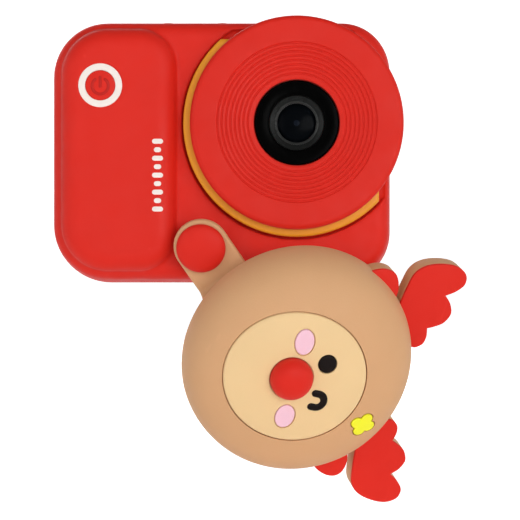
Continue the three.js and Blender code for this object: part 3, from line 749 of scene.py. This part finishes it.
def build_top_buttons():
    radius, flange, thick = 2.7, 3.6, 1.4
    for name, body in (("shutter_button", "shutter_key"), ("mode_button", "mode_key")):
        low, high = box_mm(name)
        middle = (low + high) / 2
        top = high.z - 0.3
        profile = rounded([(0, low.z), (flange, low.z), (flange, low.z + thick), (radius, low.z + thick),
                           (radius, top - 0.35), (1.7, top), (0, top)], 0.5)
        standing = TO_METRES @ Matrix.Translation((middle.x, middle.y, 0))
        make(f"{name}_cap", *turned(profile, 0, 0, 48), standing, RED, body, name)


def build_power():
    """The white ring, the red button in it, and the generic power symbol on the button."""
    outer, inner, back, front = RING.values()
    middle = 5.1
    profile = rounded([(middle, back), (outer, back), (outer, front), (inner, front), (inner, back),
                       (middle, back)], 0.15)
    make("power_ring_face", *turned(profile[:-1], POWER_X, POWER_Y, 96), BODY_FRAME, PRINT_WHITE, "body",
         "power_ring")
    radius, flange, foot, step = 4.07, 4.65, 7.8, 8.9
    profile = rounded([(0, foot), (flange, foot), (flange, step), (radius, step), (radius, POWER_FRONT - 0.1),
                       (2.2, POWER_FRONT), (0, POWER_FRONT)], 0.25)
    make("power_button_cap", *turned(profile, POWER_X, POWER_Y, 72), BODY_FRAME, RED, "power_key",
         "power_button")
    level = POWER_FRONT - 0.05
    loop = [(x, y, level) for x, y in arc(POWER_X, POWER_Y - 0.2, 2.2, 128, 412, 40)]
    bar = [(POWER_X, POWER_Y - 0.3 + 2.5 * i / 6, level) for i in range(7)]
    for name, line in (("power_mark_loop", loop), ("power_mark_bar", bar)):
        make(name, *bead(line, 0.42, 0.22), BODY_FRAME, SYMBOL_RED, "power_key", smooth_angle=60)


def build_print():
    """A plain printed strip of rounded ticks, with no lettering."""
    x, top, pitch, radius, halves, count = PRINT.values()
    for i in range(count):
        y = top - i * pitch
        half = halves[i % 2] - radius
        outline = arc(x - half, y, radius, 90, 270, 8) + arc(x + half, y, radius, -90, 90, 8)
        slab(f"print_tick_{i + 1}", [outline], 17.3, 18.04, BODY_FRAME, PRINT_WHITE, "body", bevel=0.05)


def build_flap():
    """The side port's flap, with a small tab to pull it open."""
    low, high = box_mm("port_flap")
    side = TO_METRES @ Matrix(((0, 0, 1, BODY_LOW.x), (1, 0, 0, 0), (0, 1, 0, 0), (0, 0, 0, 1)))
    outline = rounded_rect(low.y, high.y, low.z, high.z, (1.2, 1.2), 0, 6)
    slab("flap", [outline], 0.3, 1.8, side, RED, "flap", "port_flap", bevel=0.25)
    tab = rounded_rect(1.4, 4.6, high.z - 2.4, high.z - 1.2, (0.5, 0.5), 0, 5)
    slab("flap_tab", [tab], 0.05, 0.6, side, RED, "flap", bevel=0.2)


# ---- Lens ----
def hood_profile():
    """The hood's section: a rounded outer edge, then fine grooves that step down towards the window."""
    radius, bore, back, front, edge = HOOD.values()
    outer, inner, count = HOOD_GROOVES.values()
    profile = [(bore, back), (radius - 0.5, back), (radius, back + 0.6), (radius, front - edge)]
    profile += [(radius - edge * (1 - c), front - edge + edge * s) for c, s in quarter(8)]
    profile += [(25.0, front), (outer + 0.4, front - 0.06)]
    pitch = (outer - inner) / (count - 1)
    groove = ((0.0, 0.0), (0.14, 0.12), (0.26, 0.34), (0.44, 0.34), (0.56, 0.12), (0.72, 0.04))
    for i in range(count):
        start = outer - i * pitch
        level = front - 0.1 - 0.12 * i
        profile += [(start - across, level - deep) for across, deep in groove]
    return profile + [(12.4, front - 1.05), (12.0, front - 1.1), (11.7, front - 1.3), (bore, front - 1.7)]


def turned_on_lens(name, profile, material, *replaced, steps=96, smooth_angle=40):
    make(name, *turned(profile, LENS_X, LENS_Y, steps), BODY_FRAME, material, "body", *replaced,
         smooth_angle=smooth_angle)


def build_lens():
    """The hood, the yellow collar behind it, and the window, ring, rim and glass of the lens, with a bluish
    disc at its centre as a painted glint.
    """
    turned_on_lens("hood", hood_profile(), HOOD_RED, "lens_hood", steps=192, smooth_angle=30)
    outlines = [clipped_circle(COLLAR), circle(LENS_X, LENS_Y, 12.0)]
    slab("collar", outlines, COLLAR["back"], COLLAR["front"], BODY_FRAME, YELLOW, "body", "lens_collar",
         bevel=0.7)
    seat = LENS_SEAT
    window = [(7.5, seat), (11.3, seat), (11.3, 19.6), (11.1, 19.85), (10.8, 19.9), (8.1, 19.9), (7.8, 19.8),
              (7.5, 19.5)]
    turned_on_lens("lens_window", window, BLACK_GLOSS, "lens_bezel")
    ring = [(5.6, seat), (7.45, seat), (7.45, 19.3), (7.2, 19.45), (6.1, 18.95), (5.75, 18.8), (5.6, 18.65)]
    turned_on_lens("lens_ring", ring, RING_GREY)
    # a thin rim on the ring's inner edge, coloured lighter grey as a painted highlight
    rim = [(5.35, seat), (6.0, seat), (6.0, 19.0), (5.85, 19.1), (5.6, 19.0), (5.35, 18.75)]
    turned_on_lens("lens_rim", rim, RIM_HIGHLIGHT_GREY)
    back, edge, bulge = 17.2, 17.7, 1.15
    glass = [(0, back), (LENS_GLASS_RADIUS, back)]
    for i in range(12):
        turn = math.pi / 2 * i / 12
        glass.append((LENS_GLASS_RADIUS * math.cos(turn), edge + bulge * math.sin(turn)))
    glass.append((0, edge + bulge))
    turned_on_lens("lens_front", glass, LENS_GLASS, "lens_element", steps=64)
    # a thin bluish disc at the centre of the lens: a painted glint, not a part of the lens
    glint_disc = [(0, 18.7), (0.8, 18.7), (0.8, 18.86), (0.5, 18.95), (0, 18.97)]
    turned_on_lens("lens_painted_glint", glint_disc, GLINT_DISC_BLUE, steps=32)


# ---- Pivot and strap ----
def build_pivot():
    """The low domed button that the strap turns under."""
    radius, under, rise = PIVOT_CAP.values()
    shoulder = under + 1.0
    profile = [(0, under), (radius - 0.5, under), (radius, under + 0.5), (radius, shoulder)]
    profile += [(radius * c**0.75, shoulder + rise * s) for c, s in quarter(16)]
    profile[-1] = (0, shoulder + rise)
    make("pivot_cap", *turned(profile, 0, 0, 96), PIVOT_FRAME, RED, "body", "pivot_button")


def strap_rise(along, across):
    """How far the strap has climbed: flat at the pivot, then up to lie on the floor of the cap's hollow."""
    start, end = STRAP_CLIMB
    share = min(max((along - start) / (end - start), 0), 1)
    to_cap = (CAP_FRAME.inverted() @ PIVOT_FRAME @ STRAP_TURN)[2]
    seat = HEAD["pocket"] + STRAP_SINK
    floor = (seat - to_cap[0] * along - to_cap[1] * across - to_cap[3]) / to_cap[2]
    return (floor - STRAP["half"]) * share * share * (3 - 2 * share)


def build_strap():
    """A soft flat strap with an eyelet, bending between the pivot's arm and the cap."""
    radius = STRAP["radius"]
    length = STRAP["length"]
    outline = arc(0, 0, radius, 90, 270, 32) + arc(length - radius, 0, radius, -90, 90, 32)
    mesh = slab_mesh([outline, circle(0, 0, STRAP["bore"], 32)], -STRAP["half"], STRAP["half"], 0.7)
    holder = add_object("strap_blank", mesh)
    modify(holder, "REMESH", mode="VOXEL", voxel_size=SOFT_VOXEL)
    modify(holder, "SMOOTH", factor=0.5, iterations=4)
    soft = evaluated_mesh(holder)
    bpy.data.objects.remove(holder)
    for v in soft.vertices:
        v.co.z += strap_rise(v.co.x, v.co.y)
    strap = finish_piece("strap", soft, PIVOT_FRAME @ STRAP_TURN, TAN, None, ("cover_strap",), 180)
    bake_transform(strap)


# ---- The reindeer cap ----
def dome(x, y):
    """Height of the head's front surface over a point of its plane."""
    reach = min(math.hypot(x, y) / HEAD["dome"], 1)
    return HEAD["rim"] + (HEAD["height"] - HEAD["rim"]) * math.sqrt(max(1 - reach**2.4, 0))


def inlay(outline, centre, low, high, edge=0.0, rings=14):
    """A solid over an outline whose underside and top follow the dome, with an optional rounded edge."""
    cx, cy = centre
    reach = max(math.hypot(x - cx, y - cy) for x, y in outline)
    flat = 1 - edge / reach
    levels = [(flat * i / rings, high) for i in range(1, rings + 1)]
    if edge:
        for angle in (25, 50, 70, 90):
            turn = math.radians(angle)
            levels.append((1 - (1 - flat) * (1 - math.sin(turn)), high - edge * (1 - math.cos(turn))))
    levels += [(flat * i / rings if i < rings else 1, low) for i in range(rings, 0, -1)]
    count = len(outline)
    verts = [(cx, cy, dome(cx, cy) + high)]
    for share, height in levels:
        for x, y in outline:
            px, py = cx + (x - cx) * share, cy + (y - cy) * share
            verts.append((px, py, dome(px, py) + height))
    verts.append((cx, cy, dome(cx, cy) + low))
    faces = []
    for i in range(count):
        j = (i + 1) % count
        faces.append((0, 1 + i, 1 + j))
        for level in range(len(levels) - 1):
            a = 1 + level * count
            faces.append((a + i, a + count + i, a + count + j, a + j))
        last = 1 + (len(levels) - 1) * count
        faces.append((len(verts) - 1, last + j, last + i))
    return verts, faces


def cheek_outline(centre, grow=0.0):
    turn = Matrix.Rotation(CHEEK["tilt"], 2)
    points = ellipse(0, 0, CHEEK["half_width"] + grow, CHEEK["half_height"] + grow, 64)
    return [tuple(Vector(centre) + turn @ Vector(p)) for p in points]


def face_outline(grow=0.0):
    return ellipse(FACE["x"], FACE["y"], FACE["half_width"] + grow, FACE["half_height"] + grow, 160)


def flower_outline(grow=0.0, steps=14):
    """Four round petals, each arc ending where it meets the next one."""
    petal = FLOWER["petal"] + grow
    spread = FLOWER["spread"]
    notch = (spread + math.sqrt(2 * petal**2 - spread**2)) / 2
    open_angle = math.degrees(math.atan2(notch, notch - spread))
    turn = Matrix.Rotation(FLOWER["turned"], 2)
    points = []
    for i in range(4):
        way = 90 * i
        x = spread * math.cos(math.radians(way))
        y = spread * math.sin(math.radians(way))
        points += arc(x, y, petal, way - open_angle, way + open_angle, steps)[:-1]
    middle = Vector((FLOWER["x"], FLOWER["y"]))
    turned_points = [turn @ Vector(p) for p in points]
    return [tuple(middle + Vector((p.x, p.y * FLOWER["stretch"]))) for p in turned_points]


def head_profile():
    """The head's section: a hollow in the back, a rounded rim, a curved side and the dome."""
    radius = HEAD["radius"]
    pocket = HEAD["pocket"]
    lip = HEAD["lip"]
    back = 0.4
    profile = [(0, pocket), (lip - 1, pocket), (lip - 0.3, pocket - 0.3), (lip, pocket - 1), (lip, 1.0),
               (lip + 0.2, 0.55), (lip + 0.7, back)]
    profile += [(radius - 2.0 + 2.0 * s, back + 1.6 * (1 - c)) for c, s in quarter(10)]
    shoulder = HEAD["dome"] * HEAD["shoulder"]
    top = dome(shoulder, 0)
    corner = top - (radius - shoulder)
    foot = profile[-1][1]
    for i in range(1, 17):
        t = i / 16
        profile.append((radius + (shoulder - radius) * t**2,
                        foot * (1 - t) ** 2 + corner * 2 * t * (1 - t) + top * t**2))
    profile += [(shoulder * c, dome(shoulder * c, 0)) for c, s in quarter(48)]
    profile[-1] = (0, HEAD["height"])
    return profile


def build_head():
    pockets = [
        inlay(face_outline(GROOVE), (FACE["x"], FACE["y"]), -1.0, 4.0),
        inlay(flower_outline(GROOVE), (FLOWER["x"], FLOWER["y"]), -0.8, 4.0),
    ]
    mesh = carved(turned(head_profile(), 0, 0, 192), (), pockets)
    finish_piece("head", mesh, CAP_FRAME, TAN, "cover_head", ("cover_cap",), 50)


def on_cap(name, parts, material, node, smooth_angle=70):
    """A (verts, faces) piece riding on the cap."""
    make(name, *parts, CAP_FRAME, material, "cover_head", node, smooth_angle=smooth_angle)


def build_face():
    """The face plate and what is set into it: cheeks, eyes, nose, and the flower on the head."""
    eye = (EYE["x"], EYE["y"])
    nose = (NOSE["x"], NOSE["y"])
    blossom = (FLOWER["x"], FLOWER["y"])
    plate = inlay(face_outline(), (FACE["x"], FACE["y"]), -0.9, 0.12, 0.45, 28)
    pockets = [inlay(cheek_outline(c, GROOVE), c, -0.5, 3.0) for c in CHEEKS]
    pockets.append(inlay(circle(*eye, EYE["radius"] + GROOVE * 0.6), eye, -0.5, 3.0))
    pockets.append(inlay(circle(*nose, NOSE["radius"] + GROOVE), nose, -0.5, 3.0))
    mesh = carved(plate, (), pockets)
    finish_piece("face", mesh, CAP_FRAME, CREAM, "cover_head", ("face_plate",), 50)
    for centre, name in zip(CHEEKS, ("cheek_left", "cheek_right")):
        on_cap(f"{name}_inlay", inlay(cheek_outline(centre), centre, -0.45, 0.22, 0.35), PINK, name)
    on_cap("eye", inlay(circle(*eye, EYE["radius"]), eye, -0.45, 0.35, 0.5), FACE_BLACK, "eye_round")
    build_wink()
    on_cap("blossom", inlay(flower_outline(), blossom, -0.7, 0.35, 0.4), FLOWER_YELLOW, "flower")
    build_nose()


def build_wink():
    """The winking eye: a raised arch with two short legs."""
    x, y, radius, leg, stroke = WINK.values()
    line = [(x + radius, y - leg + leg * i / 4) for i in range(4)]
    line += arc(x, y, radius, 0, 180, 24)
    line += [(x - radius, y - leg * i / 4) for i in range(1, 5)]
    path = [(px, py, dome(px, py) + 0.05) for px, py in line]
    on_cap("wink", bead(path, stroke, 0.5), FACE_BLACK, "eye_wink", 60)


def build_nose():
    seat = HEAD["height"] - 1.2
    radius = NOSE["radius"]
    profile = [(0, seat), (radius - 0.3, seat), (radius, seat + 0.3), (radius, seat + 1.4)]
    profile += [(radius * c**0.8, seat + 1.4 + (NOSE["rise"] - 0.2) * s) for c, s in quarter(16)]
    profile[-1] = (0, seat + 1.2 + NOSE["rise"])
    on_cap("nose_button", turned(profile, NOSE["x"], NOSE["y"], 96), RED, "nose", 60)


# ---- Ears and antlers ----
def mirrored(points, side):
    """Outline points drawn for the left side, for either side."""
    return [(x if side < 0 else -x, y) for x, y in points]


def antler_outline(side):
    """A smooth outer edge up to the tip, then three round lobes with two notches between them."""
    outer = [(-20, 22.8), (-26.8, 23.7), (-31.6, 24.8), (-34.4, 27.5), (-35.8, 31.8), (-35.9, 36.2),
             (-34.2, 39.3), (-31.4, 39.9), (-28.9, 38.0), (-27.2, 35.4)]
    middle = [(-27.2, 35.4), (-25.2, 37.4), (-22.4, 38.5), (-19.5, 37.2), (-17.9, 34.8), (-17.1, 33.0)]
    inner = [(-17.1, 33.0), (-14.6, 33.5), (-12.4, 33.0), (-11.0, 31.0), (-11.4, 29.0)]
    points = smooth_through(outer)[:-1] + smooth_through(middle)[:-1] + smooth_through(inner)
    return mirrored(points + [(-14, 24)], side)


def ear_outline(side):
    """A round ear. The left one is a little fuller than the right one."""
    left = [(-26.5, 8.4), (-29.9, 12.2), (-31.4, 16.0), (-30.9, 19.2), (-28.5, 21.0)]
    right = [(-25.6, 10.0), (-28.9, 13.4), (-30.3, 16.8), (-30.0, 19.6), (-28.2, 21.2)]
    shared = [(-25.0, 21.6), (-21.0, 20.5)]
    points = smooth_through((left if side < 0 else right) + shared)
    return mirrored(points + [(-19, 15)], side)


def build_horns():
    """Antlers and ears: thick tan bodies with a red layer on the front, a little turned on the head."""
    about = Matrix.Translation((0, HORN["about"], 0))
    placed = CAP_FRAME @ about @ Matrix.Rotation(HORN["turned"], 4, "Z") @ about.inverted()
    for side, suffix in ((-1, "left"), (1, "right")):
        for kind, outline in (("antler", antler_outline(side)), ("ear", ear_outline(side))):
            node = f"{kind}_{suffix}"
            slab(f"{node}_back", [outline], HORN["back"], HORN["split"], placed, TAN, "cover_head", node,
                 bevel=0.35)
            slab(f"{node}_layer", [outline], HORN["split"] - 0.1, HORN["front"], placed, RED, "cover_head",
                 f"{node}_front", bevel=0.4)


# ---- Carried-over nodes ----
def paint_frame():
    """Materials for the CAD nodes that stay: the hard shell, the boards and what sits on them."""
    looks = (
        (RED_PLASTIC, ("front_housing", "pivot_post")),
        (BARREL_BLACK, ("lens_barrel", "speaker", "rear_lens_module", "power_switch")),
        (BOARD, ("sensor_board", "main_board", "key_board", "power_board")),
        (FOIL, ("battery", "lcd_panel")),
        (STEEL, ("usb_socket", "card_socket")),
    )
    for material, names in looks:
        for name in names:
            mesh = frame["nodes"][name].data
            mesh.materials.clear()
            mesh.materials.append(material)


# ---- Stage ----
LIGHT_SIZE = 0.8  # metres, like the next line
LIT_MIDDLE = (0.01, 0, 0.01)
SKY = (0.36, 0.16)  # the world's strength at the horizon and overhead
FLOOR_BELOW = 10.0  # millimetres from the CAD box down to the floor
CAMERA_LENS = 110.2  # focal length in millimetres on a 36 mm wide sensor
CAMERA_PLACE = (0.01067, -0.450, 0.00637)


def stage_material():
    """Matt white and a little self-lit, more so towards the camera, so the sweep reads as clean white."""
    material = surface("stage_white", linear(250, 250, 250), 0.9, grain=0.02, cloud=0.005, wear=0.0)
    tree = material.node_tree
    shader = tree.nodes["Principled BSDF"]
    path = add_node(tree, "LightPath")
    glow = calculated(tree, "MULTIPLY_ADD", path.outputs["Is Camera Ray"], 0.45, 0.2)
    tree.links.new(glow, shader.inputs["Emission Strength"])
    set_inputs(shader, {"Emission Color": (1, 1, 1, 1)})
    return material


def build_stage():
    """A pale floor that curves up into a wall. At the swivel's outer limit an antler dips 2 mm under it."""
    floor = cad_box[0].z / MM - FLOOR_BELOW
    reach, sweep, wall = 1600.0, 500.0, 1400.0
    rings = [(0.0, floor), (200.0, floor), (reach, floor)]
    rings += [(reach + sweep * s, floor + sweep * (1 - c)) for c, s in quarter(12)]
    rings.append((reach + sweep, floor + wall))
    verts, faces = turned(rings + [(reach + sweep, floor + wall + 1)], 0, 0, 96)
    mesh = bpy.data.meshes.new("floor")
    mesh.from_pydata([(x * MM, y * MM, z * MM) for x, y, z in verts], [], faces[: 96 * (len(rings) - 1)])
    mesh.materials.append(stage_material())
    for polygon in mesh.polygons:
        polygon.use_smooth = True
    add_object("floor", mesh)


def add_area(name, location, power):
    """A soft round light aimed at the middle of the object."""
    data = bpy.data.lights.new(name, "AREA")
    data.energy = power
    data.shape = "DISK"
    data.size = LIGHT_SIZE
    light = add_object(name, data)
    light.location = location
    light.rotation_euler = (Vector(LIT_MIDDLE) - Vector(location)).to_track_quat("-Z", "Y").to_euler()


def build_light():
    """A pale world that dims overhead, a large light at the front right, a weak fill and one from behind."""
    world = bpy.data.worlds.new("studio")
    world.use_nodes = True
    tree = world.node_tree
    background = tree.nodes["Background"]
    set_inputs(background, {"Color": (1, 1, 1, 1)})
    place = add_node(tree, "TexCoord")
    parts = add_node(tree, "SeparateXYZ")
    fade = add_node(tree, "MapRange", {"To Min": SKY[0], "To Max": SKY[1]})
    tree.links.new(place.outputs["Generated"], parts.inputs["Vector"])
    tree.links.new(parts.outputs["Z"], fade.inputs["Value"])
    tree.links.new(fade.outputs["Result"], background.inputs["Strength"])
    bpy.context.scene.world = world
    add_area("key", (0.5, -1.0, 0.0), 6.6)
    add_area("fill", (-0.7, -0.9, 0.1), 1.4)
    add_area("rear", (-0.3, 0.9, 0.4), 4.0)
    bpy.context.scene.view_settings.view_transform = "Standard"
    bpy.context.scene.view_settings.look = "None"


def build_camera():
    """Straight at the front, a little right of the body's centre and low, as the picture is framed."""
    data = bpy.data.cameras.new("camera")
    data.sensor_width = 36.0
    data.lens = CAMERA_LENS
    data.clip_start = 0.01
    camera = add_object("camera", data)
    camera.location = CAMERA_PLACE
    camera.rotation_euler = (math.pi / 2, 0, 0)
    bpy.context.scene.camera = camera


build_sleeve()
build_rear()
build_windows()
build_screws()
build_keys()
build_top_buttons()
build_power()
build_print()
build_flap()
build_lens()
build_pivot()
build_strap()
build_head()
build_face()
build_horns()
paint_frame()
build_stage()
build_light()
build_camera()
